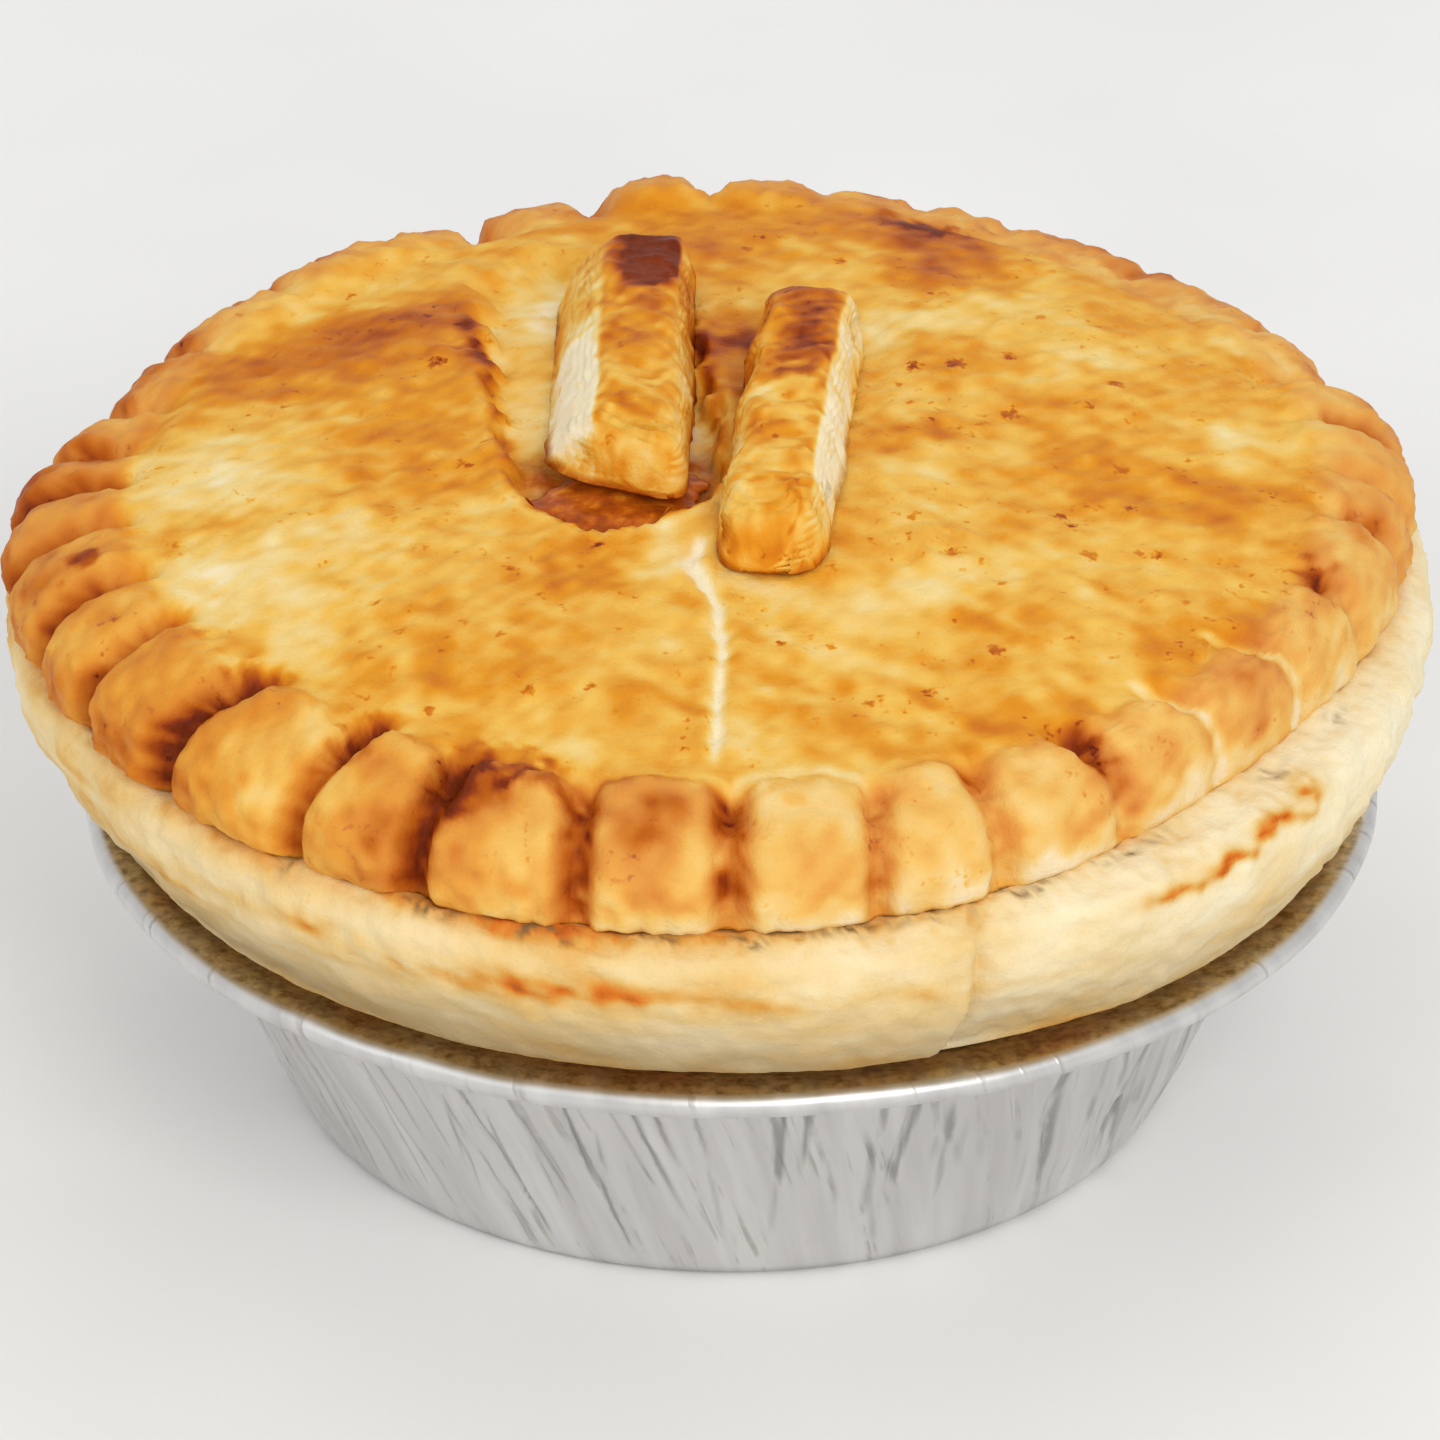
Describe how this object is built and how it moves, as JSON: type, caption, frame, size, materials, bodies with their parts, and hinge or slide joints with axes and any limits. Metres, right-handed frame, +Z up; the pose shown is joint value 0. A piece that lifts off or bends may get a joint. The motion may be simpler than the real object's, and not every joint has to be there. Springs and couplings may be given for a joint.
{
  "type": "venison pie",
  "caption": "Round savoury meat pie in its foil dish, with a pale raised crust, a crimped golden lid, pastry strips on top and a dark spot of gravy.",
  "frame": {"origin": "middle of the dish's flat base, on the surface that the pie stands on", "axes": "+Z up, -Y towards the front, where the camera looks from, and +X to the right"},
  "size_m": [0.1205, 0.1204, 0.065],
  "materials": {
    "foil": "soft satin with pressed creases",
    "pale_pastry": "matt, lightly floury baked pastry",
    "golden_pastry": "egg-washed baked pastry with a soft sheen",
    "gravy": "glossy baked gravy"
  },
  "bodies": {
    "root": {"foil_dish": "foil", "pastry_base": "pale_pastry", "pastry_lid": "golden_pastry", "pastry_strip_left": "golden_pastry", "pastry_strip_right": "golden_pastry", "gravy_pool": "gravy"}
  },
  "joints": []
}
